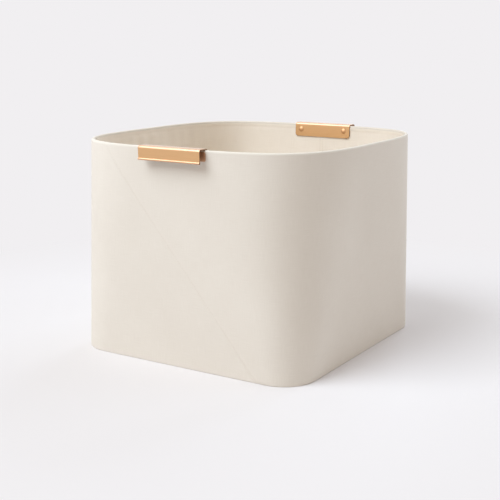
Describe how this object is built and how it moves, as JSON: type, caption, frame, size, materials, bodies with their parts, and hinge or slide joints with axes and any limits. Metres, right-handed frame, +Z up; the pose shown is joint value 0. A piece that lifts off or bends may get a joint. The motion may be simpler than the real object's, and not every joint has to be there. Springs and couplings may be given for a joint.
{
  "type": "fabric storage bin",
  "caption": "Open-topped square storage bin with rounded corners: fabric over a stiff board wall, fabric lined, with folded brass handles riveted over the rim.",
  "frame": {"origin": "on the surface the bin stands on, under the middle of its outline", "axes": "+Z up out of the open top; -Y towards the front wall, which has one handle and the slanting seam; +Y towards the back wall, which has the other handle"},
  "size_m": [0.3554, 0.384, 0.2721],
  "materials": {
    "cover_fabric": "smooth closely woven cream fabric",
    "lining_fabric": "plain woven cream lining",
    "paperboard": "grey paperboard, uncoated",
    "brushed_brass": "brushed, satin"
  },
  "bodies": {
    "root": {"outer_cover": "cover_fabric", "wall_board": "paperboard", "lining_sleeve": "lining_fabric", "base_panel": "cover_fabric", "base_board": "paperboard", "base_lining": "lining_fabric", "front_handle": "brushed_brass", "front_left_rivet": "brushed_brass", "front_right_rivet": "brushed_brass", "front_backing_plate": "brushed_brass", "back_handle": "brushed_brass", "back_left_rivet": "brushed_brass", "back_right_rivet": "brushed_brass", "back_backing_plate": "brushed_brass"}
  },
  "joints": []
}
